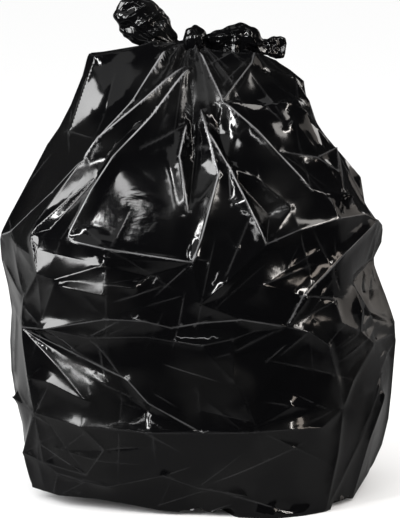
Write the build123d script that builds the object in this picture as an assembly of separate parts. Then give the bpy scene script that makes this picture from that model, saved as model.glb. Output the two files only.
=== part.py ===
"""A filled refuse sack, tied shut in a knot with its own mouth.

The sack is one tube of blown polyethylene film, sealed across its bottom, filled with loose rubbish and tied
at the top. It can't be seen into, so film and contents are one solid. Film pulled tight over rubbish lies in
flat facets between creases, so the solid is faceted too. It stands on a flat patch, swells to its full girth,
draws in like a hipped tent to a short ridge, and is gathered there in pleats into a neck. The knot sits on the
neck, with a puffed loop of film to its left, a flatter one to its right, and the torn end of the mouth past it.

Units are millimetres. +Z is up, X is the sack's width, +X to the right seen from the front, and the front
faces -Y. The origin is on the ground, at the middle of the overall width and depth.
"""

from build123d import *
import math
import os

# Driving dimensions
WIDTH = 510.0
DEPTH = 404.0
HEIGHT = 640.0

# The section: a superellipse, between an ellipse (2) and a box (large), with a crease at each of its corners.
SQUARENESS = 2.5
CREASES = 20

# Each level up the sack: its height as a share of the overall height, how far the film reaches left, right,
# forward and back as shares of the half width and half depth, and how deep the pleats are.
LEVELS = [
    (0.000, 0.74, 0.73, 0.80, 0.80, 0.00),
    (0.020, 0.84, 0.82, 0.88, 0.88, 0.00),
    (0.085, 0.91, 0.94, 0.96, 0.95, 0.00),
    (0.180, 0.96, 0.99, 1.00, 0.99, 0.00),
    (0.310, 0.98, 1.00, 0.98, 1.00, 0.01),
    (0.440, 0.99, 0.95, 0.99, 0.98, 0.02),
    (0.520, 1.00, 0.94, 0.92, 0.92, 0.03),
    (0.650, 0.83, 0.79, 0.73, 0.72, 0.06),
    (0.770, 0.68, 0.63, 0.50, 0.49, 0.10),
    (0.850, 0.60, 0.54, 0.29, 0.28, 0.14),
    (0.885, 0.54, 0.40, 0.14, 0.13, 0.18),
    (0.918, 0.09, 0.03, 0.08, 0.08, 0.10),
]

# The tie. A loop of film leans from upright by lean degrees, narrow at its foot and full towards its tip.
KNOT = {"foot": (-9.0, 0.0, 571.0), "lean": 0.0, "length": 33.0, "radius": 20.0, "flatness": 1.0}
LEFT_LOOP = {"foot": (-22.0, 0.0, 574.0), "lean": -46.0, "length": 88.0, "radius": 28.0, "flatness": 0.8}
RIGHT_LOOP = {"foot": (-2.0, 2.0, 584.0), "lean": 86.0, "length": 80.0, "radius": 20.0, "flatness": 1.1}
TORN_END = {"foot": (60.0, -4.0, 589.0), "lean": 110.0, "length": 60.0, "radius": 17.0, "flatness": 0.8}
LOOP_CREASES = 8
LOOP_LEVELS = [(0.00, 0.35), (0.12, 0.60), (0.35, 0.88), (0.62, 1.00), (0.84, 0.74), (1.00, 0.20)]


def section(height, left, right, front, back, pleat):
    """The corners of the film's section at one level, with every other crease drawn in by the pleat."""
    corners = []
    for crease in range(CREASES):
        turn = 2 * math.pi * crease / CREASES
        across, along = math.cos(turn), math.sin(turn)
        drawn_in = 1 - pleat * (crease % 2)
        reach_x = WIDTH / 2 * (right if across > 0 else left) * drawn_in
        reach_y = DEPTH / 2 * (back if along > 0 else front) * drawn_in
        x = math.copysign(reach_x * abs(across) ** (2 / SQUARENESS), across)
        y = math.copysign(reach_y * abs(along) ** (2 / SQUARENESS), along)
        corners.append((x, y, HEIGHT * height))
    return corners


def facet(*corners):
    """One flat facet of film."""
    return Face(Wire.make_polygon(corners, close=True))


def faceted_skin(levels):
    """A closed solid of flat facets over a stack of sections that all have the same number of corners."""
    facets = [facet(*levels[0]), facet(*levels[-1])]
    for low, high in zip(levels, levels[1:]):
        for here in range(len(low)):
            there = (here + 1) % len(low)
            facets.append(facet(low[here], low[there], high[there]))
            facets.append(facet(low[here], high[there], high[here]))
    return Solid(Shell(facets))


def gathered_film(foot, lean, length, radius, flatness):
    """The knot, a loop or the torn end: film gathered at its foot and again at its tip."""
    levels = []
    for share, fullness in LOOP_LEVELS:
        ring = []
        for crease in range(LOOP_CREASES):
            turn = 2 * math.pi * (crease + 0.5) / LOOP_CREASES
            x = radius * fullness * math.cos(turn)
            y = radius * fullness * flatness * math.sin(turn)
            ring.append((x, y, length * share))
        levels.append(ring)
    return Pos(*foot) * Rot(0, lean, 0) * faceted_skin(levels)


def tied_sack():
    """The film with its contents, as one solid, centred over the origin."""
    sack = faceted_skin([section(*level) for level in LEVELS])
    for gathered in (KNOT, LEFT_LOOP, RIGHT_LOOP, TORN_END):
        sack = sack + gathered_film(**gathered)
    box = sack.bounding_box()
    middle = box.center()
    return Pos(-middle.X, -middle.Y, -box.min.Z) * sack


os.makedirs("parts", exist_ok=True)
refuse_sack = tied_sack()
print("solids", len(refuse_sack.solids()), "volume in litres", round(refuse_sack.volume / 1e6, 1))
print("overall", refuse_sack.bounding_box().size)
export_step(refuse_sack, "parts/tied_sack.step")
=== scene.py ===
import math

import bmesh
import bpy
import numpy as np
from mathutils import Matrix, Vector
from mathutils.bvhtree import BVHTree
from mathutils.geometry import delaunay_2d_cdt
from mathutils.kdtree import KDTree


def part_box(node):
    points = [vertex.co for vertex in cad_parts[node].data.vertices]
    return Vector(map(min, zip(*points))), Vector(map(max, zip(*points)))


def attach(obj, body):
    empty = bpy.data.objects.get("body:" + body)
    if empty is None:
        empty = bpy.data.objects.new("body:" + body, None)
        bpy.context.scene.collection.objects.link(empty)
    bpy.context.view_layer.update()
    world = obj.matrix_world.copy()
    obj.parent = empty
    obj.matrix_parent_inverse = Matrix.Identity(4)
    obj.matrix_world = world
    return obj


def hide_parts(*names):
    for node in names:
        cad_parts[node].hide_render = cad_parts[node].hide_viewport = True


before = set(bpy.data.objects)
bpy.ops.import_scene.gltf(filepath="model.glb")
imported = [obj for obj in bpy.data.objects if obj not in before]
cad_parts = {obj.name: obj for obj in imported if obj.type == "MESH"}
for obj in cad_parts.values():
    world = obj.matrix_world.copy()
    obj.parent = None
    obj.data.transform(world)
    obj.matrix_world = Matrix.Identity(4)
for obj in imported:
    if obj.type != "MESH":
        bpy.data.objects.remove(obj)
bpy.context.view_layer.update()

# ---------------------------------------------------------------------------------------------
# The sack: one tube of thin black polythene film, filled, standing on its closed end and drawn
# together at the top. Its shape is a net of creases, where loose film is stretched between the
# corners of what is inside, with smaller folds pinched between them and pleats into the neck.
# ---------------------------------------------------------------------------------------------
MM = 0.001
DRAWN_SIZE = (510.0, 402.0, 639.0)      # the sack that the creases below are set out on
AXIS_X = -9.0                           # the neck stands a little left of the middle
NECK_HEIGHT = 584.0
NECK_RING_HEIGHT = 583.0                # the net of creases ends at a small ring there
NECK_RING_RADIUS = 11.0
NECK_RING_POINTS = 12

# Ridges stand out and valleys lie in: each is a line of points (x, y, z) in millimetres.
FRONT_RIDGES = {
    "flap lip": [(-140, -4, 566), (-132, -16, 563), (-88, -18, 572), (-52, -16, 585)],
    "flap edge": [(-140, -4, 566), (-148, 2, 536), (-163, 2, 499), (-178, 2, 470), (-194, 2, 447),
                  (-208, 2, 420), (-224, 2, 390), (-242, 2, 357), (-256, -2, 329)],
    "flap fold": [(-132, -16, 563), (-164, -42, 470), (-82, -76, 513)],
    "flap side": [(-164, -42, 470), (-178, 2, 470)],
    "first pleat": [(-41, -33, 574), (-58, -52, 549), (-82, -76, 513), (-126, -98, 468)],
    "second pleat": [(-19, -44, 553), (-66, -78, 516), (-126, -98, 468), (-144, -102, 443)],
    "left shoulder": [(-144, -102, 443), (-182, -88, 400), (-240, -25, 338), (-256, -2, 329)],
    "lit panel top": [(-144, -102, 443), (-204, -98, 362), (-212, -108, 348)],
    "lit panel foot": [(-124, -118, 428), (-204, -106, 358), (-212, -108, 348)],
    "long pleat": [(-12, -48, 552), (-58, -84, 494), (-106, -116, 447), (-133, -134, 408),
                   (-164, -153, 349)],
    "belt": [(-164, -153, 349), (-114, -178, 342), (-7, -194, 328)],
    "belt corner": [(-212, -108, 348), (-202, -118, 330), (-118, -184, 322)],
    "lit patch": [(-202, -118, 330), (-202, -130, 302), (-178, -158, 300), (-118, -184, 322)],
    "first tuck": [(-172, -166, 293), (-117, -194, 286), (-118, -190, 300)],
    "second tuck": [(-118, -190, 300), (-79, -197, 296), (-65, -184, 308)],
    "left edge": [(-212, -108, 348), (-202, -130, 302), (-221, -106, 265), (-224, -112, 230)],
    "left side top": [(-254, 0, 297), (-221, -106, 265)],
    "pouch left": [(-14, -96, 487), (-23, -126, 450), (-12, -164, 386)],
    "pouch right": [(3, -92, 506), (25, -142, 428), (4, -180, 355), (-7, -194, 328)],
    "neck to node": [(2, -30, 572), (17, -62, 541), (31, -90, 515)],
    "node to rim": [(31, -90, 515), (68, -42, 557), (72, -22, 570)],
    "node to side": [(31, -90, 515), (85, -78, 509), (116, -76, 513)],
    "node to hip": [(31, -90, 515), (74, -112, 480), (142, -138, 410)],
    "right pleat": [(13, -112, 478), (38, -136, 438), (58, -160, 402), (85, -184, 349)],
    "right pocket": [(38, -136, 438), (74, -138, 422), (116, -152, 389), (85, -184, 349)],
    "short pleat": [(38, -136, 438), (40, -154, 400)],
    "right belt": [(85, -184, 349), (125, -168, 364), (177, -146, 375), (213, -80, 370),
                   (239, -8, 342)],
    "right patch": [(164, -140, 402), (177, -146, 375)],
    "right patch top": [(142, -138, 410), (164, -134, 405), (197, -112, 398)],
    "right rim": [(72, -22, 570), (100, -5, 557), (118, -2, 545), (136, 0, 530), (139, 0, 510),
                  (154, 0, 470), (181, 0, 439), (209, 0, 405), (216, 0, 365), (239, -8, 342)],
    "right rim fold": [(83, -27, 544), (122, -22, 538), (142, -30, 508), (154, 0, 470)],
    "small facet": [(116, -76, 513), (139, -60, 497), (118, -94, 487)],
    "spike": [(98, -116, 455), (149, -102, 445), (177, -88, 425), (176, -60, 452),
              (149, -102, 445)],
    "right upright": [(176, -60, 452), (182, -102, 408), (177, -146, 375)],
    "hip ridge": [(230, -55, 358), (184, -134, 329), (130, -176, 282), (110, -180, 246)],
    "hip": [(239, -8, 342), (230, -55, 358), (213, -80, 370)],
    "hip edge": [(239, -8, 342), (237, 0, 320), (225, -5, 297), (243, 0, 250), (255, 0, 215),
                 (257, 0, 190), (255, 0, 160), (252, 0, 120), (248, 0, 85), (240, 0, 50),
                 (225, -20, 22)],
    "waist": [(-224, -112, 230), (-194, -150, 235), (-114, -188, 255), (-67, -196, 254),
              (-33, -188, 244), (3, -190, 251), (54, -196, 256), (110, -182, 244)],
    "waist low": [(-194, -150, 235), (-138, -176, 229), (-62, -188, 232), (3, -198, 223),
                  (44, -198, 232), (70, -188, 240), (110, -182, 244)],
    "waist top": [(3, -200, 276), (54, -196, 256)],
    "waist flap": [(3, -198, 223), (43, -205, 183), (44, -198, 232)],
    "star": [(110, -182, 244), (138, -178, 281)],
    "star side": [(110, -182, 244), (171, -152, 271), (180, -150, 243), (206, -108, 223)],
    "front panel edge": [(110, -182, 244), (138, -180, 237), (164, -162, 216), (177, -148, 160),
                         (182, -142, 130)],
    "right line": [(197, -90, 285), (208, -106, 250), (206, -108, 223), (225, -75, 201),
                   (196, -128, 165), (182, -142, 130)],
    "diagonal": [(-224, -112, 230), (-160, -156, 208), (-102, -182, 184), (-88, -188, 178),
                 (-62, -196, 150), (3, -200, 114)],
    "diagonal low": [(-224, -112, 230), (-165, -154, 196), (-116, -182, 172), (-62, -190, 138)],
    "streak panel": [(-224, -112, 230), (-178, -154, 190), (-140, -184, 150)],
    "left low edge": [(-224, -112, 230), (-215, -122, 165), (-207, -128, 122)],
    "left low fold": [(-215, -122, 165), (-191, -150, 168), (-140, -184, 150)],
    "low belt": [(-240, -70, 130), (-207, -128, 122), (-147, -184, 117), (-60, -203, 113),
                 (3, -204, 113), (58, -206, 114), (118, -192, 115), (155, -172, 113),
                 (182, -142, 130)],
    "low belt flap": [(58, -206, 114), (118, -188, 144), (182, -142, 130)],
    "corner panel": [(-147, -184, 117), (-118, -186, 87), (-140, -166, 50), (-196, -128, 57),
                     (-207, -128, 122)],
    "corner": [(-207, -128, 122), (-218, -108, 85), (-224, -95, 62), (-196, -128, 57),
               (-178, -138, 46), (-142, -162, 40), (-176, -128, 14)],
    "corner foot": [(-224, -95, 62), (-212, -85, 14)],
    "foot fold": [(-142, -162, 40), (-114, -174, 36), (-43, -194, 56), (-1, -192, 40),
                  (60, -196, 30)],
    "foot": [(-225, -15, 50), (-212, -85, 14), (-176, -128, 14), (-127, -150, 15), (-95, -163, 13),
             (-49, -172, 6), (3, -178, 2), (93, -196, 0), (132, -180, 0), (160, -160, 0),
             (197, -105, 4), (225, -20, 22)],
    "right foot": [(182, -142, 130), (176, -148, 70), (160, -160, 0)],
    "right corner": [(242, -60, 130), (220, -88, 78), (197, -105, 4)],
    "left side": [(-256, -2, 329), (-254, 0, 297), (-246, 0, 262), (-241, 0, 231), (-244, 0, 190),
                  (-243, 0, 150), (-237, 0, 112), (-229, 0, 79), (-225, -15, 50)],
    "left side fold": [(-246, 0, 262), (-232, -60, 240), (-236, -50, 160), (-229, 0, 79)],
    "middle": [(-7, -194, 328), (3, -200, 276), (30, -204, 300), (85, -184, 349)],
}
FRONT_VALLEYS = {
    "lit panel": [(-124, -118, 428), (-155, -116, 393), (-188, -116, 356), (-212, -108, 348)],
    "pleats": [(-80, -90, 487), (-103, -102, 466), (-124, -118, 428)],
    "belt": [(-212, -108, 348), (-164, -153, 349), (-114, -184, 332), (-7, -194, 328)],
    "under belt": [(-118, -184, 322), (-65, -184, 308), (-7, -194, 328)],
    "grey patch": [(-178, -158, 300), (-118, -190, 300), (-65, -184, 308)],
    "pouch": [(-9, -60, 530), (-5, -114, 440), (-12, -164, 386), (0, -160, 398)],
    "under node": [(31, -90, 515), (25, -96, 480), (38, -128, 440)],
    "pocket": [(50, -138, 421), (90, -150, 380), (85, -184, 349)],
    "hip notch": [(225, -5, 297), (197, -90, 285), (222, -60, 240), (255, 0, 215)],
    "corner": [(-118, -186, 87), (-182, -148, 80), (-140, -166, 50)],
    "middle": [(3, -200, 276), (80, -200, 300), (130, -176, 282)],
    "low front": [(43, -205, 183), (60, -208, 150), (58, -206, 114)],
}
BACK_RIDGES = {
    "rim": [(-140, -4, 566), (-120, 14, 566), (-60, 18, 576), (20, 18, 578), (72, -22, 570)],
    "rim right": [(72, -22, 570), (96, 14, 556), (136, 0, 530)],
    "pleat one": [(-120, 14, 566), (-158, 46, 470), (-204, 86, 398), (-236, 50, 330)],
    "pleat two": [(-40, 30, 560), (-92, 92, 486), (-140, 128, 420), (-176, 132, 352),
                  (-236, 50, 330)],
    "pleat three": [(-20, 40, 556), (-40, 112, 480), (-84, 168, 400), (-96, 186, 330)],
    "pleat four": [(-4, 40, 556), (6, 104, 488), (-22, 150, 420), (10, 196, 338)],
    "pleat five": [(10, 34, 562), (44, 92, 500), (62, 150, 420), (54, 192, 350)],
    "pleat six": [(30, 30, 560), (96, 84, 490), (120, 138, 412), (150, 150, 340), (222, 60, 318)],
    "pleat seven": [(96, 14, 556), (148, 60, 474), (196, 74, 396), (222, 60, 318)],
    "left side": [(-256, -2, 329), (-236, 50, 330), (-238, 60, 250), (-230, 92, 200),
                  (-226, 84, 110), (-200, 90, 30)],
    "right side": [(239, -8, 342), (222, 60, 318), (214, 104, 262), (226, 96, 190),
                   (214, 112, 110), (190, 96, 14)],
    "belt": [(-236, 50, 330), (-176, 132, 352), (-96, 186, 330), (10, 196, 338), (54, 192, 350),
             (150, 150, 340), (222, 60, 318)],
    "waist": [(-230, 92, 200), (-150, 164, 214), (-70, 196, 196), (30, 192, 214), (110, 184, 190),
              (170, 150, 212), (226, 96, 190)],
    "cross": [(-84, 192, 270), (-30, 196, 236), (30, 192, 214), (100, 196, 150), (150, 166, 110)],
    "cross low": [(-230, 92, 200), (-160, 156, 160), (-100, 190, 120), (-40, 200, 110)],
    "low belt": [(-226, 84, 110), (-168, 148, 118), (-100, 190, 120), (-40, 200, 110),
                 (50, 202, 116), (150, 166, 110), (214, 112, 110)],
    "foot": [(-225, -15, 50), (-200, 90, 30), (-150, 130, 4), (-60, 160, 0), (40, 172, 0),
             (120, 148, 0), (190, 96, 14), (225, -20, 22)],
    "upright": [(-150, 164, 214), (-168, 148, 118), (-150, 150, 60)],
    "upright right": [(110, 184, 190), (128, 176, 150), (150, 166, 110), (120, 160, 36)],
}
BACK_VALLEYS = {
    "under belt": [(-238, 60, 250), (-170, 144, 286), (-84, 192, 270), (0, 184, 290),
                   (92, 190, 268), (150, 158, 290), (214, 104, 262)],
    "above foot": [(-200, 90, 30), (-150, 150, 60), (-60, 178, 42), (40, 190, 56), (120, 160, 36),
                   (190, 96, 14)],
    "pouch": [(62, 150, 420), (90, 160, 380), (54, 192, 350)],
    "between pleats": [(-140, 128, 420), (-110, 146, 392), (-84, 168, 400)],
}

# How far the boldest ridges of the front stand out, in millimetres.
BOLD = {
    "first pleat": 3.2, "second pleat": 3.4, "long pleat": 3.6, "pouch left": 3.6,
    "pouch right": 3.4, "neck to node": 3.2, "node to rim": 2.6, "node to hip": 3.0,
    "right pleat": 3.4, "short pleat": 2.4, "belt": 2.8, "left shoulder": 2.8,
    "lit panel top": 2.4, "right belt": 2.4, "flap lip": 2.2, "spike": 2.4, "hip ridge": 2.6,
    "waist": 2.4, "waist low": 2.0, "diagonal": 2.4, "low belt": 2.0, "corner": 2.2,
    "corner panel": 2.2, "foot fold": 2.2, "left low edge": 2.2, "star side": 2.2,
    "front panel edge": 2.2,
}

sack_low, sack_high = (np.array(corner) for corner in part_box("tied_sack"))
drawn = np.array(DRAWN_SIZE) * MM
fit = (sack_high - sack_low) / drawn
ridges = [*FRONT_RIDGES.values(), *BACK_RIDGES.values()]
valleys = [*FRONT_VALLEYS.values(), *BACK_VALLEYS.values()]
bold_of = {id(line): BOLD.get(name, 0) for name, line in FRONT_RIDGES.items()}
axis_x = AXIS_X * MM * fit[0]
neck = np.array((axis_x, 0.0, NECK_HEIGHT * MM * fit[2]))
TURN_HEIGHT = 300 * MM                  # below it film is met level, above it from one centre
centre = np.array((axis_x, 0, 0.28))    # inside the sack: every outward normal points away from it


def placed(point):
    return np.array(point) * MM * fit


UNROLL = 0.2                            # metres of map to a radian round the sack
RISE = 0.26                             # and to a radian up it, above the turning height
GIRTH = math.tau * UNROLL


def unrolled(points):
    """Places on the film as a flat map, across it round the sack and up it to the neck."""
    points = np.asarray(points)
    out = np.hypot(points[:, 1], points[:, 0] - axis_x)
    rise = np.arctan2(points[:, 2] - TURN_HEIGHT, out)
    height = np.where(points[:, 2] < TURN_HEIGHT, points[:, 2], TURN_HEIGHT + RISE * rise)
    return UNROLL * np.arctan2(points[:, 1], points[:, 0] - axis_x), height


def outward(across, height):
    """Where the ray of a place on the map starts on the axis, and its direction."""
    rise = np.maximum(0, (height - TURN_HEIGHT) / RISE)
    angle = across / UNROLL
    starts = np.stack([np.full_like(across, axis_x), 0 * across, np.minimum(height, TURN_HEIGHT)])
    return starts, np.stack([np.cos(angle) * np.cos(rise), np.sin(angle) * np.cos(rise), np.sin(rise)])


def film_net(lines):
    """The flat faces of the film stretched between the creases."""
    corners, index, edges = [], {}, []
    ring = [(AXIS_X + NECK_RING_RADIUS * math.cos(a), NECK_RING_RADIUS * math.sin(a),
             NECK_RING_HEIGHT) for a in np.arange(NECK_RING_POINTS) * math.tau / NECK_RING_POINTS]
    for line in [*lines, *[[p] for p in ring]]:
        for point in line:
            if point not in index:
                index[point] = len(corners)
                corners.append(placed(point))
        edges += [(index[a], index[b]) for a, b in zip(line, line[1:])]
    corners = np.array(corners)
    across, height = unrolled(corners)
    # the map is laid out three times side by side, so that its middle copy has no open edge
    count = len(corners)
    flat = [Vector((across[k] + turn * GIRTH, height[k]))
            for turn in (-1, 0, 1) for k in range(count)]
    creased = []
    for a, b in edges:
        wrap = -round((across[b] - across[a]) / GIRTH)
        creased += [(a + (turn + 1) * count, b + (turn + 1 + wrap) * count)
                    for turn in (-1, 0, 1) if -1 <= turn + wrap <= 1]
    places, _, faces, source, _, _ = delaunay_2d_cdt(flat, creased, [], 0, 1e-6)

    def crossing(place):
        """Where two creases cross, the point of the nearer one."""
        best = None
        for a, b in creased:
            step = flat[b] - flat[a]
            share = min(max((place - flat[a]).dot(step) / step.length_squared, 0.0), 1.0)
            miss = (flat[a] + step * share - place).length
            if best is None or miss < best[0]:
                best = (miss, corners[a % count] * (1 - share) + corners[b % count] * share)
        return best[1]

    points = [corners[came[0] % count] if came else crossing(place)
              for place, came in zip(places, source)]
    middle = [face for face in faces
              if -GIRTH / 2 <= sum(places[k][0] for k in face) / len(face) < GIRTH / 2]
    return BVHTree.FromPolygons([Vector(p) for p in points], [tuple(face) for face in middle])


net = film_net(ridges + valleys)


def ease(low, high, value):
    share = np.clip((value - low) / (high - low), 0, 1)
    return share * share * (3 - 2 * share)


# Creases are painted pale: partly the whitening of sharply creased film, partly a painted highlight
# for the light that the crests catch.
PALE_HIGHLIGHT_WIDTH = 1.25 * MM                  # how far to each side a crease is pale


class Film:
    """Places on a film, the way out of each, and how far each is lifted by creases and swells."""

    def __init__(self, places, outs):
        self.places, self.outs = places, outs
        self.lift, self.crest, self.trough = np.zeros((3, places.shape[1]))
        self.calm = np.ones(places.shape[1])
        # creased holds how pale each place is painted along the creases: whitening and painted
        # highlight.
        self.creased = np.zeros(places.shape[1])

    def beside(self, start, end, normal, left, right, fade_in=0.02, fade_out=0.02):
        """The places beside a line: which they are, how far across it, and its faded share there."""
        length = np.linalg.norm(end - start)
        run = (end - start) / length
        across = np.cross(run, normal)
        across /= np.linalg.norm(across) + 1e-9
        local = self.places - start[:, None]
        along = run @ local / length
        near = np.nonzero((along > -0.02) & (along < 1.02))[0]
        local, along = local[:, near], along[near]
        side = across @ local
        kept = (np.abs(side) < max(left, right)) & (np.abs(normal @ local) < 0.03 + 0.2 * length)
        kept &= normal @ self.outs[:, near] > 0.1
        near, side, along = near[kept], side[kept], along[kept]
        fade = np.clip((along + 0.02) / fade_in, 0, 1) * np.clip((1.02 - along) / fade_out, 0, 1)
        return near, side, fade * (2 - fade)

    def pinch(self, start, end, normal, height, left, right, fade_in, fade_out, rounding=MM,
              joined=False):
        """Lift the film into a sharp crest from start to end, with hollow flanks on both sides.

        Joined creases don't add up where they meet: the boldest of them counts."""
        near, side, share = self.beside(start, end, normal, left, right, fade_in, fade_out)
        away = (np.hypot(side, rounding) - rounding) / np.where(side > 0, left, right)
        lift = height * share * self.calm[near] * np.clip(1 - away, 0, 1) ** 1.7
        if not joined:
            self.lift[near] += lift
        elif height > 0:
            self.crest[near] = np.maximum(self.crest[near], lift)
        else:
            self.trough[near] = np.minimum(self.trough[near], lift)

    def paint_whitening_and_highlight(self, start, end, normal, strength, fade_in, fade_out):
        """Pale along the crease: the whitening of sharply creased film, and a painted highlight on its
        crest.
        """
        near, side, share = self.beside(start, end, normal, PALE_HIGHLIGHT_WIDTH, PALE_HIGHLIGHT_WIDTH, fade_in, fade_out)
        pale_and_highlight = strength * share * np.clip(1 - np.abs(side) / PALE_HIGHLIGHT_WIDTH, 0, 1)
        self.creased[near] = np.maximum(self.creased[near], pale_and_highlight)

    def keep_clear(self, start, end, normal, width):
        """Later creases fade out towards this line."""
        near, side, _ = self.beside(start, end, normal, width, width)
        self.calm[near] = np.minimum(self.calm[near], 0.1 + 0.9 * ease(0, width, np.abs(side)))

    def swell(self, draw, longest, height, waves=24):
        """Soft random waves, the longest of them this long."""
        for _ in range(waves):
            way = draw.normal(0, 1, 3)
            way *= math.tau / (longest * draw.uniform(0.4, 1.0) * np.linalg.norm(way))
            share, phase = draw.uniform(0.2, 0.5), draw.uniform(0, math.tau)
            self.lift += height * share * np.sin(way @ self.places + phase)

    def lifted(self):
        points = self.places + self.outs * (self.lift + self.crest + self.trough)
        points[2] = np.maximum(points[2], 0.0)
        return points.T


def film_piece(name, points, faces):
    mesh = bpy.data.meshes.new(name)
    mesh.from_pydata([tuple(p) for p in points], [], faces)
    mesh.shade_smooth()
    piece = bpy.data.objects.new(name, mesh)
    bpy.context.collection.objects.link(piece)
    return piece


draw = np.random.default_rng(4)
MAIN_CREST = 1.8 * MM                   # how far a ridge stands out that is not a bold one
VALLEY_SHARE = 0.6                      # how far a valley lies in, as a share of that
FULL_LENGTH = 0.03                      # shorter stretches of crease are lower in proportion
MAIN_WIDTH = 9 * MM                     # from a crease to the foot of its flank
CLEAR = 12 * MM                         # small folds are lower this near a main crease
FACE_STEP = 4                           # a crease faces the mean way of the film that far each side
END_FADE, RUN_ON = 0.3, 0.02            # share of a stretch that fades at a free end, at a joint
PLAIN_ROUND, BOLD_ROUND = 1.4 * MM, 2.4 * MM
# Bold ridges are painted pale along the crest: whitening of creased film and a painted highlight.
HIGHLIGHT_PALE_FROM = 2.2                         # bold ridges are paler the further they pass this height
HIGHLIGHT_PALER, LEAST_HIGHLIGHT_PALE = 0.45, 0.02
main_folds = []                         # start, end, normal, height, flanks, fades, rounding
whitening_and_highlights = []                           # start, end, normal, how pale, fades
for lines, rise in ((ridges, 1.0), (valleys, -VALLEY_SHARE)):
    for line in lines:
        points = [placed(p) for p in line]
        bold = bold_of.get(id(line), 0) * MM
        for k, (start, end) in enumerate(zip(points, points[1:])):
            middle = (start + end) / 2
            normal = np.array(net.find_nearest(Vector(middle))[1])
            across = np.cross(end - start, normal)
            across /= np.linalg.norm(across) + 1e-9
            normal = sum(np.array(net.find_nearest(Vector(middle + across * MM * far))[1])
                         for far in (-FACE_STEP, FACE_STEP))
            normal /= np.linalg.norm(normal)
            if normal @ (middle - centre) < 0:
                normal = -normal
            height = rise * (bold or MAIN_CREST) * min(1, np.linalg.norm(end - start) / FULL_LENGTH)
            flanks = (MAIN_WIDTH + 0.5 * bold) * draw.uniform(0.8, 1.3, 2)
            fades = (END_FADE if k == 0 else RUN_ON, END_FADE if k == len(points) - 2 else RUN_ON)
            rounding = BOLD_ROUND if bold else PLAIN_ROUND
            main_folds.append((start, end, normal, height, *flanks, *fades, rounding))
            if bold:
                highlight_paleness = max(LEAST_HIGHLIGHT_PALE, HIGHLIGHT_PALER * (bold / MM - HIGHLIGHT_PALE_FROM))
                whitening_and_highlights.append((start, end, normal, highlight_paleness, *fades))

# Smaller folds start at the corners of the net and here and there between them: they run up to
# the neck in the upper part, and mostly level lower down, where the film has slumped. The upper
# left of the front is drawn tight, with broad faces, so few of them start there.
SMALL_FOLDS = 300
SLUMP_HEIGHT = 340 * MM
TIGHT_TO = 0.02
LOWEST, HIGHEST = 0.03, 0.66            # heights on the map between which folds are scattered
SMALL_FADES = (0.3, 0.7)
NECK_TOP = TURN_HEIGHT + RISE * math.radians(87)
folds = []                              # start, end, normal, height, flanks, fades
corners = np.array(sorted({point for line in ridges + valleys for point in line})) * MM * fit
while len(folds) < SMALL_FOLDS:
    if draw.uniform() < 0.5:
        start, normal, _, _ = net.find_nearest(Vector(corners[draw.integers(len(corners))]))
    else:
        starts, ways = outward(*np.array([[draw.uniform(-0.5, 0.5) * math.tau * UNROLL],
                                          [draw.uniform(LOWEST, HIGHEST)]]))
        start, normal, _, _ = net.ray_cast(Vector(starts[:, 0]), Vector(ways[:, 0]), 1.0)
    tight = start is not None and start[2] > SLUMP_HEIGHT and start[0] < TIGHT_TO and start[1] < 0
    if start is None or (tight and draw.uniform() < 0.75):
        continue
    start, normal = np.array(start), np.array(normal)
    up = neck - start
    up = up - normal * (normal @ up)
    up /= np.linalg.norm(up) + 1e-9
    high = start[2] > SLUMP_HEIGHT
    if high:
        turn = draw.normal(0, 0.4) + (0 if draw.uniform() < 0.85 else math.pi / 2)
    else:
        turn = draw.normal(math.pi / 2, 0.5) if draw.uniform() < 0.7 else draw.uniform(0, math.pi)
    turn += math.pi * (draw.uniform() < 0.5)
    length = draw.uniform(0.03, 0.13) * (1.2 if high else 1.0)
    run = math.cos(turn) * up + math.sin(turn) * np.cross(up, normal)
    height = length * draw.uniform(0.006, 0.018) * (1 if draw.uniform() < 0.65 else -0.8)
    flanks = np.maximum(length * draw.uniform(0.05, 0.16, 2), 0.004)
    folds.append((start, start + run * length, normal, height, *flanks, *SMALL_FADES))

# Pleats gather the mouth into the neck: many narrow ones, some reaching far down.
NECK_PLEATS = 60
PLEAT_HEIGHT = 2.6 * MM
PLEAT_FADES = (0.05, 0.85)
FLAP_END = math.radians(-128) * UNROLL  # the broad flap at the left has only short pleats
for _ in range(NECK_PLEATS):
    across = np.full(2, draw.uniform(-0.5, 0.5) * math.tau * UNROLL)
    drift = draw.normal(0, 0.012)
    far = 0.03 + 0.12 * draw.uniform() ** 2 if across[0] > FLAP_END else draw.uniform(0.02, 0.05)
    starts, ways = outward(across + (0, drift), np.array([NECK_TOP - 0.001, NECK_TOP - far]))
    ends = [net.ray_cast(Vector(a), Vector(b), 1.0) for a, b in zip(starts.T, ways.T)]
    if None in (ends[0][0], ends[1][0]):
        continue
    normal = np.array(ends[1][1])
    height = PLEAT_HEIGHT * draw.uniform(0.4, 1.1) * (1 if draw.uniform() < 0.6 else -1)
    folds.append((np.array(ends[0][0]), np.array(ends[1][0]), normal, height,
                  *(MM * draw.uniform(3.5, 9, 2)), *PLEAT_FADES))

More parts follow.
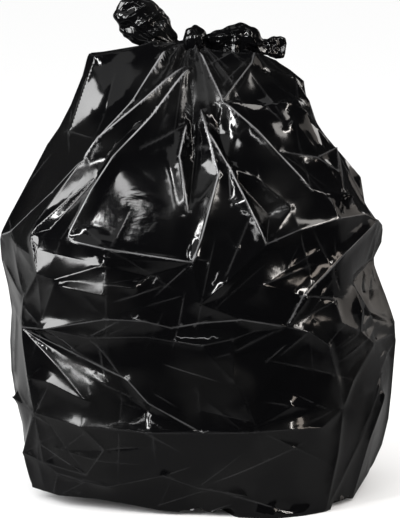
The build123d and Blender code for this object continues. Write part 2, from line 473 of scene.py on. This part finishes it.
# The mesh of the film has rows of points along every crease and close beside it, and evenly
# scattered points between them, so that each crease is crisp.
SPACING = 6.0 * MM
ALONG_CREASE = 5.0 * MM
BESIDE_CREASE = (1.3 * MM, 3.0 * MM)
CREST_GAP = 2 * MM                      # small crests stop this far from a main crease
BESIDE_GAP = 1.4 * MM                   # points beside creases are thinned to one in each such cell
SEEK = 0.05                             # how far off the net a crease may run
FOOT_GAP, NECK_GAP = 0.003, 0.004       # free of points, next to the foot and the neck
heights = np.linspace(0.002, NECK_TOP, 160)
MERIDIANS = 24
meridians = (np.arange(MERIDIANS) / MERIDIANS - 0.5) * GIRTH
starts, ways = outward(*(grid.ravel() for grid in np.meshgrid(meridians, heights)))
hits = [net.ray_cast(Vector(a), Vector(b), 1.0)[3] or 0.0 for a, b in zip(starts.T, ways.T)]
radii = (np.hypot(ways[0], ways[1]) * hits).reshape(len(heights), MERIDIANS)
mean_radius = np.nanmean(np.where(radii > 0, radii, np.nan), axis=1)
stretch = np.concatenate([[0], np.cumsum(UNROLL / mean_radius[1:] * np.diff(heights))])


def on_film(across, height):
    starts, ways = outward(across, height)
    return [net.ray_cast(Vector(a), Vector(b), 1.0)[0] for a, b in zip(starts.T, ways.T)]


FOOT_POINTS, NECK_POINTS = 300, 48
FOOT_STEP, FOOT_HIGHEST = MM, 0.08
foot = []
for across in (np.arange(FOOT_POINTS) / FOOT_POINTS - 0.5) * GIRTH:
    for height in np.arange(FOOT_STEP, FOOT_HIGHEST, FOOT_STEP):
        place = on_film(np.array([across]), np.array([height]))[0]
        if place is not None:
            foot.append(np.array(place))
            break
foot = np.array(foot)
foot_across, foot_height = unrolled(foot)
rim_across = (np.arange(NECK_POINTS) / NECK_POINTS - 0.5) * GIRTH
rim = np.array(on_film(rim_across, np.full(NECK_POINTS, NECK_TOP)))


def clear_of_ends(place):
    across, height = unrolled(np.array([place]))
    return (height[0] > np.interp(across[0], foot_across, foot_height) + FOOT_GAP
            and height[0] < NECK_TOP - NECK_GAP)


def chain(start, end, normal, straight):
    """Rows of points on the film along a crease and beside it; the crest itself may be straight."""
    length = np.linalg.norm(end - start)
    across = np.cross((end - start) / length, normal)
    across /= np.linalg.norm(across) + 1e-9
    steps = max(2, round(length / ALONG_CREASE))
    rows = []
    for far in (0.0, *BESIDE_CREASE, *(-b for b in BESIDE_CREASE)):
        line = start + (end - start) * np.linspace(0, 1, steps + 1)[:, None] + across * far
        if far == 0.0 and straight:
            found = [Vector(p) for p in line]
        else:
            found = [net.ray_cast(Vector(p + normal * SEEK), Vector(-normal), 2 * SEEK)[0]
                     for p in line]
        rows.append([None if p is None or not clear_of_ends(p) else np.array(p) for p in found])
    return rows


points = [*foot, *rim]
creased = [(k, (k + 1) % FOOT_POINTS) for k in range(FOOT_POINTS)]
beside = []
for fold in (*main_folds, *folds):
    main = len(beside) < len(main_folds)
    crest, *others = chain(fold[0], fold[1], fold[2], main)
    if not main:
        crest = [p if p is None or main_tree.find(p)[2] > CREST_GAP else None for p in crest]
    for k, place in enumerate(crest):
        if place is not None:
            if k and crest[k - 1] is not None:
                creased.append((len(points) - 1, len(points)))
            points.append(place)
    beside.append([p for row in others for p in row if p is not None])
    if len(beside) == len(main_folds):
        on_main = len(points)
        near_main = points + [p for row in beside for p in row]
        main_tree = KDTree(len(near_main))
        for k, place in enumerate(near_main):
            main_tree.insert(place, k)
        main_tree.balance()
beside = np.array([p for row in beside for p in row])
_, first = np.unique(np.round(beside / BESIDE_GAP), axis=0, return_index=True)
points += list(beside[np.sort(first)])

tree = KDTree(len(points))
for k, place in enumerate(points):
    tree.insert(place, k)
tree.balance()
for height in np.arange(NECK_GAP, NECK_TOP - NECK_GAP, SPACING):
    count = int(math.tau * np.interp(height, heights, mean_radius) / SPACING)
    across = ((np.arange(count) + draw.uniform(-0.3, 0.3, count)) / count - 0.5) * GIRTH
    for place in on_film(across, height + draw.uniform(-0.25, 0.25, count) * SPACING):
        if place is not None and clear_of_ends(place) and tree.find(place)[2] > 0.6 * SPACING:
            points.append(np.array(place))

# The points are joined into triangles on the flat map, which is stretched in height so that they
# are as even there as on the film. A strip at each side of its seam is laid out again beyond the
# other side, and faces whose middle lies past the seam or below the foot are left out.
SEAM = 0.12
points = np.array(points)
across, height = unrolled(points)
up = np.interp(height, heights, stretch)
copied = [(turn, k) for turn, side in ((1, across < SEAM - GIRTH / 2), (-1, across > GIRTH / 2 - SEAM))
          for k in np.nonzero(side)[0]]
copy_of = {key: len(points) + n for n, key in enumerate(copied)}
origin = np.concatenate([np.arange(len(points)), [k for _, k in copied]]).astype(int)
flat = [Vector((a, h)) for a, h in zip(across, up)]
flat += [Vector((across[k] + turn * GIRTH, up[k])) for turn, k in copied]
edges = []
for a, b in creased:
    wrap = int(round((across[b] - across[a]) / GIRTH))
    if wrap == 0:
        edges.append((a, b))
        edges += [(copy_of[turn, a], copy_of[turn, b]) for turn in (1, -1)
                  if (turn, a) in copy_of and (turn, b) in copy_of]
    elif (wrap, a) in copy_of and (-wrap, b) in copy_of:
        edges += [(copy_of[wrap, a], b), (a, copy_of[-wrap, b])]
laid, _, faces, source, _, _ = delaunay_2d_cdt(flat, edges, [], 0, 1e-7)
laid = np.array(laid)
added = [k for k, came in enumerate(source) if not came]
found = on_film(laid[added, 0], np.interp(laid[added, 1], stretch, heights))
extra = {k: len(points) + n for n, k in enumerate(added)}
points = np.vstack([points, [(0, 0, 0) if p is None else tuple(p) for p in found]])
index = [extra[k] if not came else int(origin[came[0]]) for k, came in enumerate(source)]
middle = laid[np.array(faces)].mean(1)
floor_line = np.interp(middle[:, 0], np.append(foot_across, foot_across[0] + GIRTH),
                       np.interp(np.append(foot_height, foot_height[0]), heights, stretch))
kept = (middle[:, 0] >= -GIRTH / 2) & (middle[:, 0] < GIRTH / 2) & (middle[:, 1] > floor_line)
faces = [tuple(index[k] for k in face) for face, keep in zip(faces, kept) if keep]

# Between its main creases the film pulls itself smooth: every point but those on them, the foot
# and the neck moves, along the way it faces, towards the mean of its neighbours.
PULLS = 120
EASE = 0.8                              # share of the way to the mean in each pull
ON_CREASE = 0.2 * MM
triangles = np.array(faces)
ends = np.vstack([triangles[:, [0, 1]], triangles[:, [1, 2]], triangles[:, [2, 0]]])
ends = np.vstack([ends, ends[:, ::-1]])
held = np.zeros(len(points), bool)
held[:on_main] = True
for start, end, *_ in main_folds:
    share = np.clip((points - start) @ (end - start) / ((end - start) @ (end - start)), 0, 1)
    held |= ((points - start - share[:, None] * (end - start)) ** 2).sum(1) < ON_CREASE ** 2


def facing(points):
    """The way the film faces at each point, from the triangles around it."""
    corner = [points[triangles[:, k]] for k in range(3)]
    way = np.cross(corner[1] - corner[0], corner[2] - corner[0])
    sums = [np.bincount(triangles.ravel(), np.repeat(way[:, k], 3), len(points)) for k in range(3)]
    sums = np.column_stack(sums)
    return sums / (np.linalg.norm(sums, axis=1)[:, None] + 1e-12)


for pull in range(PULLS):
    if pull % 10 == 0:
        out = facing(points)
        weight = 1 / (np.linalg.norm(points[ends[:, 1]] - points[ends[:, 0]], axis=1) + 1e-5)
        total = np.bincount(ends[:, 0], weight, len(points)) + 1e-9
    lag = ((points[ends[:, 1]] - points[ends[:, 0]]) * out[ends[:, 0]]).sum(1) * weight
    step = np.bincount(ends[:, 0], lag, len(points)) / total
    step[held] = 0
    points = points + out * (EASE * step)[:, None]

# The creases are lifted out of the smoothed film, and small folds fade out towards the main ones.
FAINT_WHITENING_AND_HIGHLIGHT = 0.045                           # the palest that a small fold turns
NECK_EASE = (0.003, 0.02)               # creases rise from nothing this far from the neck
film = Film(points.T, outward(*unrolled(points))[1])
for fold in main_folds:
    film.pinch(*fold, joined=True)
for start, end, normal, *_ in main_folds:
    film.keep_clear(start, end, normal, CLEAR)
for fold in folds:
    film.pinch(*fold)
# The creases are painted pale: the whitening of creased film, and a painted highlight along each
# crest.
for fold in whitening_and_highlights:
    film.paint_whitening_and_highlight(*fold)
for start, end, normal, _, _, _, *fades in folds:
    film.paint_whitening_and_highlight(start, end, normal, draw.uniform(0, FAINT_WHITENING_AND_HIGHLIGHT), *fades)
film.calm[:] = 1
film.swell(draw, longest=0.16, height=0.22 * MM)
from_neck = np.sqrt(((points - neck) ** 2).sum(1))
for lift in (film.lift, film.crest, film.trough):
    lift *= ease(*NECK_EASE, from_neck)
    lift[:FOOT_POINTS + NECK_POINTS] = 0

points = film.lifted()
points[:FOOT_POINTS, 2] -= FOOT_STEP    # the foot of the film was sought from that far up
points = list(points)
BASE_RINGS = (0.97, 0.85, 0.6, 0.3)     # shares of the way out to the foot
ring = list(range(FOOT_POINTS))
for share in BASE_RINGS:
    inner = list(range(len(points), len(points) + FOOT_POINTS))
    points += [(axis_x + (p[0] - axis_x) * share, p[1] * share, 0.0) for p in foot]
    faces += [(ring[k], inner[k], inner[(k + 1) % FOOT_POINTS], ring[(k + 1) % FOOT_POINTS])
              for k in range(FOOT_POINTS)]
    ring = inner
points += [(axis_x, 0, 0), (axis_x, 0, neck[2] + 2 * MM)]
faces += [(ring[k], len(points) - 2, ring[(k + 1) % FOOT_POINTS]) for k in range(FOOT_POINTS)]
faces += [(FOOT_POINTS + k, FOOT_POINTS + (k + 1) % NECK_POINTS, len(points) - 1)
          for k in range(NECK_POINTS)]
sack = film_piece("filled_sack", points, faces)
# How pale the creases are painted, whitening and painted highlight, is kept on the points as creased.
pale_and_highlight = np.zeros(len(points))
pale_and_highlight[:len(film.creased)] = film.creased
sack.data.attributes.new("creased", "FLOAT", "POINT").data.foreach_set("value", pale_and_highlight)
WELD = 0.00002
welded = bmesh.new()
welded.from_mesh(sack.data)
bmesh.ops.remove_doubles(welded, verts=welded.verts, dist=WELD)
bmesh.ops.delete(welded, geom=[v for v in welded.verts if not v.link_faces], context="VERTS")
welded.to_mesh(sack.data)
welded.free()


class Wire:
    """One output in a node tree. Arithmetic on it adds the Math nodes that work it out."""

    def __init__(self, tree, socket=None):
        self.tree, self.socket = tree, socket

    def add(self, kind, settings=(), sockets=(), output=0):
        """A new node with its settings and the values or wires of its sockets, as its output."""
        node = self.tree.nodes.new(kind)
        for name, value in dict(settings).items():
            setattr(node, name, value)
        for name, value in dict(sockets).items():
            if isinstance(value, Wire):
                self.tree.links.new(value.socket, node.inputs[name])
            else:
                node.inputs[name].default_value = value
        return Wire(self.tree, node.outputs[output] if node.outputs else None)

    def maths(self, operation, *others):
        return self.add("ShaderNodeMath", {"operation": operation}, enumerate((self, *others)))

    def __add__(self, other):
        return self.maths("ADD", other)

    def __sub__(self, other):
        return self.maths("SUBTRACT", other)

    def __rsub__(self, other):
        return self * -1 + other

    def __mul__(self, other):
        return self.maths("MULTIPLY", other)

    def __pow__(self, power):
        return self.maths("POWER", power)

    __radd__ = __add__
    __rmul__ = __mul__

    def feed(self, socket):
        self.tree.links.new(self.socket, socket)

    def between(self, low, high):
        """0 at low, 1 at high, eased."""
        return self.add("ShaderNodeMapRange", {"interpolation_type": "SMOOTHSTEP"},
                        {"Value": self, "From Min": low, "From Max": high})

    def blend(self, first, second):
        """The first colour at 0, the second at 1."""
        return self.add("ShaderNodeMix", {"data_type": "RGBA"},
                        {"Factor": self, "A": first, "B": second}, "Result")

    def noise(self, scale, detail=2.0, stretch=(1, 1, 1), turn=(0, 0, 0)):
        """Noise over this wire's places, in features to the metre."""
        at = self.add("ShaderNodeMapping", {}, {"Vector": self, "Rotation": turn, "Scale": stretch})
        return self.add("ShaderNodeTexNoise", {}, {"Vector": at, "Scale": scale, "Detail": detail})


BLACK, WORN_BLACK = (0.0012, 0.0012, 0.0014, 1), (0.0028, 0.0028, 0.0029, 1)
# Grey of the creases: whitening of creased film and a painted highlight along the crests.
WHITENED_AND_HIGHLIGHT_GREY = (0.45, 0.45, 0.46, 1)
RUBBED_PLACE = (-0.072, -0.16, 0.372)   # the film of the belly is roughened round here


def black_film(name):
    """Thin black polythene: glossy, crumpled in patches, faintly lined, pale where creased, with a
    painted highlight there.
    """
    material = bpy.data.materials.new(name)
    material.use_nodes = True
    shader = material.node_tree.nodes["Principled BSDF"]
    shader.inputs["IOR"].default_value = 1.46
    tree = Wire(material.node_tree)
    place = tree.add("ShaderNodeTexCoord", output="Object")
    worn = place.noise(9.0).between(0.48, 0.62)
    handled = place.noise(16.0, turn=(0.4, 0.9, 0.2)).between(0.50, 0.60)
    soft = place.noise(22.0, 1.0) * (0.18 * MM)
    crumple = place.noise(110.0, 3.0, (1.0, 1.0, 0.7)) * handled * (0.16 * MM)
    streaks = place.noise(260.0, 2.0, (0.25, 0.25, 1.0), (0.2, 0.5, 0.0)) * worn * (0.06 * MM)
    lines = place.noise(700.0, 1.0, (1.0, 1.0, 0.02)) * (0.003 * MM)
    from_belly = tree.add("ShaderNodeVectorMath", {"operation": "DISTANCE"},
                          {0: place, 1: RUBBED_PLACE}, "Value")
    rubbed = place.noise(85.0, 5.0, (0.45, 1.0, 1.2), (0.0, 0.35, 0.0))
    rubbed = rubbed * (1 - from_belly.between(0.02, 0.06))
    height = soft + crumple + streaks + lines + rubbed * (0.32 * MM)
    bump = tree.add("ShaderNodeBump", {}, {"Height": height, "Distance": 1.0})
    bump.feed(shader.inputs["Normal"])
    gloss = 0.07 + worn * 0.10 + handled * 0.04
    gloss.feed(shader.inputs["Roughness"])
    tint = worn.blend(BLACK, WORN_BLACK)
    # The creases are painted pale grey, unevenly: whitening of creased film and a painted highlight
    # where their crests would catch the light.
    creased = tree.add("ShaderNodeAttribute", {"attribute_name": "creased"}, {}, "Fac")
    uneven_highlight = place.noise(30.0).between(0.3, 0.6) * 0.5 + 0.5
    (creased * uneven_highlight).blend(tint, WHITENED_AND_HIGHLIGHT_GREY).feed(shader.inputs["Base Color"])
    return material


film_finish = black_film("black_film")
sack.data.materials.append(film_finish)
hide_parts("tied_sack")
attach(sack, "root")


# ---------------------------------------------------------------------------------------------
# The knot: the mouth of the sack is twisted and tied in itself. The film is ruched tight round
# the knot, and what is left over stands out of it as an ear of crumpled film on the left and a
# flatter loop on the right, which ends in a torn, creased end.
# ---------------------------------------------------------------------------------------------
def bunch(name, line, widths, depths, pleats, crumples, seed):
    """Film gathered along a line from foot to tip: half widths and depths in mm, then its folds."""
    draw = np.random.default_rng(seed)
    rows, columns = 80, 160             # points along it and round it
    points = np.array([placed(p) for p in line])
    stations = np.linspace(0, 1, len(points))
    share = np.linspace(0.012, 0.988, rows)
    axis = np.array([np.interp(share, stations, points[:, k]) for k in range(3)])
    for _ in range(8):
        axis[:, 1:-1] = 0.5 * axis[:, 1:-1] + 0.25 * (axis[:, 2:] + axis[:, :-2])
    along = np.gradient(axis, axis=1)
    along /= np.sqrt((along * along).sum(0))
    side = np.cross(along.T, (0, -1, 0)).T
    side /= np.sqrt((side * side).sum(0))
    front = np.cross(side.T, along.T).T
    spread = np.linspace(0, 1, len(widths))
    round_end = np.sqrt(np.clip(1 - (np.abs(share * 2 - 1)) ** 6, 0, 1))
    wide = np.interp(share, spread, widths) * MM * round_end
    deep = np.interp(share, spread, depths) * MM * round_end
    around = np.arange(columns) / columns * math.tau
    grid = (axis[:, :, None] + side[:, :, None] * wide[None, :, None] * np.cos(around)
            + front[:, :, None] * deep[None, :, None] * np.sin(around))
    out = np.cross(np.roll(grid, -1, 2) - np.roll(grid, 1, 2), np.gradient(grid, axis=1), axis=0)
    out /= np.sqrt((out * out).sum(0)) + 1e-12
    made = Film(grid.reshape(3, -1), out.reshape(3, -1))
    for _ in range(pleats):
        column = int(draw.integers(columns))
        far = int(draw.integers(rows // 3, rows - 4))
        drift = int(draw.integers(-5, 6))
        end = (column + drift) % columns
        normal = out[:, far // 2, (column + drift // 2) % columns]
        height = draw.uniform(0.8, 2.4) * MM * (1 if draw.uniform() < 0.6 else -1)
        made.pinch(grid[:, 1, column], grid[:, far, end], normal, height,
                   *(MM * draw.uniform(2.0, 5.5, 2)), 0.1, 0.7)
    for _ in range(crumples):
        column, row = int(draw.integers(columns)), int(draw.integers(rows // 3, rows - 2))
        start, normal = grid[:, row, column], out[:, row, column]
        turn = draw.uniform(0, math.tau)
        level = np.cross(normal, along[:, row])
        level /= np.linalg.norm(level) + 1e-9
        run = math.cos(turn) * np.cross(level, normal) + math.sin(turn) * level
        height = draw.uniform(0.6, 2.2) * MM * (1 if draw.uniform() < 0.6 else -1)
        made.pinch(start, start + run * draw.uniform(12, 34) * MM, normal, height,
                   *(MM * draw.uniform(2.5, 7, 2)), 0.2, 0.7)
    made.swell(draw, longest=0.03, height=1.0 * MM)
    after = [(k + 1) % columns for k in range(columns)]
    faces = [(row + k, row + after[k], row + columns + after[k], row + columns + k)
             for row in range(0, (rows - 1) * columns, columns) for k in range(columns)]
    count = rows * columns
    faces += [(count, after[k], k) for k in range(columns)]
    faces += [(count - columns + k, count - columns + after[k], count + 1) for k in range(columns)]
    points = made.lifted()
    ends = [points[:columns].mean(0), points[-columns:].mean(0)]
    piece = film_piece(name, [*points, *ends], faces)
    piece.data.materials.append(film_finish)
    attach(piece, "root")


bunch("knot", [(-5, -6, 566), (-5, -8, 588), (-3, -4, 604)],
      [17, 17, 16, 13, 7], [15, 17, 16, 12, 7], pleats=46, crumples=6, seed=11)
bunch("left_ear", [(-24, 2, 574), (-60, 4, 598), (-104, 6, 630)],
      [5, 16, 25, 30, 27, 15], [5, 10, 14, 14, 11, 6], pleats=34, crumples=30, seed=12)
bunch("right_loop", [(0, 0, 580), (34, -2, 583), (62, -2, 585), (86, 2, 574)],
      [8, 14, 18, 22, 19, 9], [8, 11, 13, 13, 11, 6], pleats=20, crumples=18, seed=13)
bunch("torn_end", [(70, 2, 576), (92, 4, 576), (113, 2, 573)],
      [9, 10, 12, 15, 17], [6, 6, 5, 3.5, 2], pleats=14, crumples=34, seed=14)


# ---------------------------------------------------------------------------------------------
# The floor: plain pale paper, swept wide. In the gloss of the film its colour is painted: painted
# shade darker away from the sack, standing in for the dark cards around a set, so that black film
# keeps its depth, and painted light near the sack and behind it.
# ---------------------------------------------------------------------------------------------
FLOOR_REACH = 40.0
sides = ((-1, -1), (1, -1), (1, 1), (-1, 1))
floor_mesh = bpy.data.meshes.new("floor")
floor_mesh.from_pydata([(x * FLOOR_REACH, y * FLOOR_REACH, 0) for x, y in sides], [], [(0, 1, 2, 3)])
floor = bpy.data.objects.new("floor", floor_mesh)
bpy.context.collection.objects.link(floor)
paper = bpy.data.materials.new("pale_paper")
paper.use_nodes = True
paper.node_tree.nodes.clear()
tree = Wire(paper.node_tree)
where = tree.add("ShaderNodeTexCoord", output="Object")
x, y = (tree.add("ShaderNodeSeparateXYZ", {}, {"Vector": where}, axis) for axis in "XY")
away = (x * x + y * y) ** 0.5
# In the gloss of the film the floor's colour is painted: painted light near the sack and behind it,
# more to the left, and painted shade further away.
painted_light_behind = y.between(-0.1, 0.5) * (0.25 - x.between(-0.8, 0.2) * 0.17)
painted_reflected_floor = (1 - away.between(0.35, 0.8)) * 0.12 + 0.01 + painted_light_behind
shown = tree.add("ShaderNodeBsdfDiffuse", {}, {"Color": (0.8, 0.8, 0.8, 1)})
painted_gloss_floor = tree.add("ShaderNodeBsdfDiffuse", {}, {"Color": painted_reflected_floor})
in_gloss = tree.add("ShaderNodeLightPath", output="Is Glossy Ray")
both = tree.add("ShaderNodeMixShader", {}, {0: in_gloss, 1: shown, 2: painted_gloss_floor})
tree.add("ShaderNodeOutputMaterial", {}, {"Surface": both})
floor.data.materials.append(paper)


# ---------------------------------------------------------------------------------------------
# The light: an even white room for the floor, dark in the gloss of the film, and soft boxes
# whose bright faces the creases catch.
# ---------------------------------------------------------------------------------------------
scene = bpy.context.scene
scene.view_settings.view_transform = "Standard"
room = bpy.data.worlds.new("room")
scene.world = room
room.use_nodes = True
room.node_tree.nodes.clear()
tree = Wire(room.node_tree)
white = tree.add("ShaderNodeBackground", {}, {"Color": (1, 1, 1, 1), "Strength": 1.2})
dim = tree.add("ShaderNodeBackground", {}, {"Color": (0.02, 0.02, 0.02, 1), "Strength": 1.0})
in_gloss = tree.add("ShaderNodeLightPath", output="Is Glossy Ray")
both = tree.add("ShaderNodeMixShader", {}, {0: in_gloss, 1: white, 2: dim})
tree.add("ShaderNodeOutputWorld", {}, {"Surface": both})

SACK_MIDDLE = Vector((0, 0, 0.3))


def soft_box(name, place, width, height, watts, colour=(1, 1, 1)):
    """A bright panel that faces the sack, with its width level."""
    light = bpy.data.lights.new(name, "AREA")
    light.shape = "RECTANGLE"
    light.size, light.size_y, light.energy, light.color = width, height, watts, colour
    box = bpy.data.objects.new(name, light)
    bpy.context.collection.objects.link(box)
    back = (Vector(place) - SACK_MIDDLE).normalized()
    level = Vector((0, 0, 1)).cross(back).normalized()
    turn = Matrix((level, back.cross(level), back)).transposed().to_4x4()
    box.matrix_world = Matrix.Translation(place) @ turn


soft_box("left_box", (-2.2, -0.9, 1.2), 0.9, 1.6, 60)
soft_box("left_strip", (-1.5, -1.7, 1.5), 0.10, 1.6, 22)
soft_box("front_strip", (-0.9, -2.5, 1.6), 0.9, 0.06, 2.5)
soft_box("right_strip", (1.5, -1.5, 1.6), 0.11, 1.4, 16, (1, 0.95, 0.9))
soft_box("high_left_box", (-1.25, -0.65, 2.15), 1.0, 1.0, 1.7)
soft_box("belly_box", (-0.62, -1.3, 1.92), 0.20, 0.12, 0.9)
soft_box("high_right_box", (1.1, -0.9, 2.1), 0.3, 0.9, 6, (1, 0.96, 0.92))
soft_box("top_box", (0.2, -0.2, 2.4), 0.9, 0.5, 1)
soft_box("right_box", (2.0, -1.3, 0.9), 0.25, 0.9, 4, (1, 0.88, 0.78))
soft_box("back_high_box", (1.6, 1.9, 1.2), 0.5, 0.5, 2.2, (1, 0.97, 0.94))
soft_box("back_right_box", (2.4, 1.6, 0.8), 1.2, 1.8, 4, (1, 0.92, 0.85))

# ---------------------------------------------------------------------------------------------
# The camera: about four metres in front of the sack with a long lens, and above it, so that it
# looks ten degrees down on it.
# ---------------------------------------------------------------------------------------------
CAMERA_RISE = math.radians(10)
CAMERA_DISTANCE = 4.2
VIEW_HEIGHT = 0.6743
VIEW_MIDDLE = Vector((0.0026, 0, 0.298))
SENSOR = 36
camera = bpy.data.objects.new("camera", bpy.data.cameras.new("camera"))
bpy.context.collection.objects.link(camera)
away = Vector((0, -math.cos(CAMERA_RISE), math.sin(CAMERA_RISE)))
camera.location = VIEW_MIDDLE + CAMERA_DISTANCE * away
camera.rotation_euler = (VIEW_MIDDLE - camera.location).to_track_quat("-Z", "Y").to_euler()
camera.data.sensor_fit = "VERTICAL"
camera.data.sensor_width = camera.data.sensor_height = SENSOR
camera.data.lens = SENSOR * CAMERA_DISTANCE / VIEW_HEIGHT
scene.camera = camera
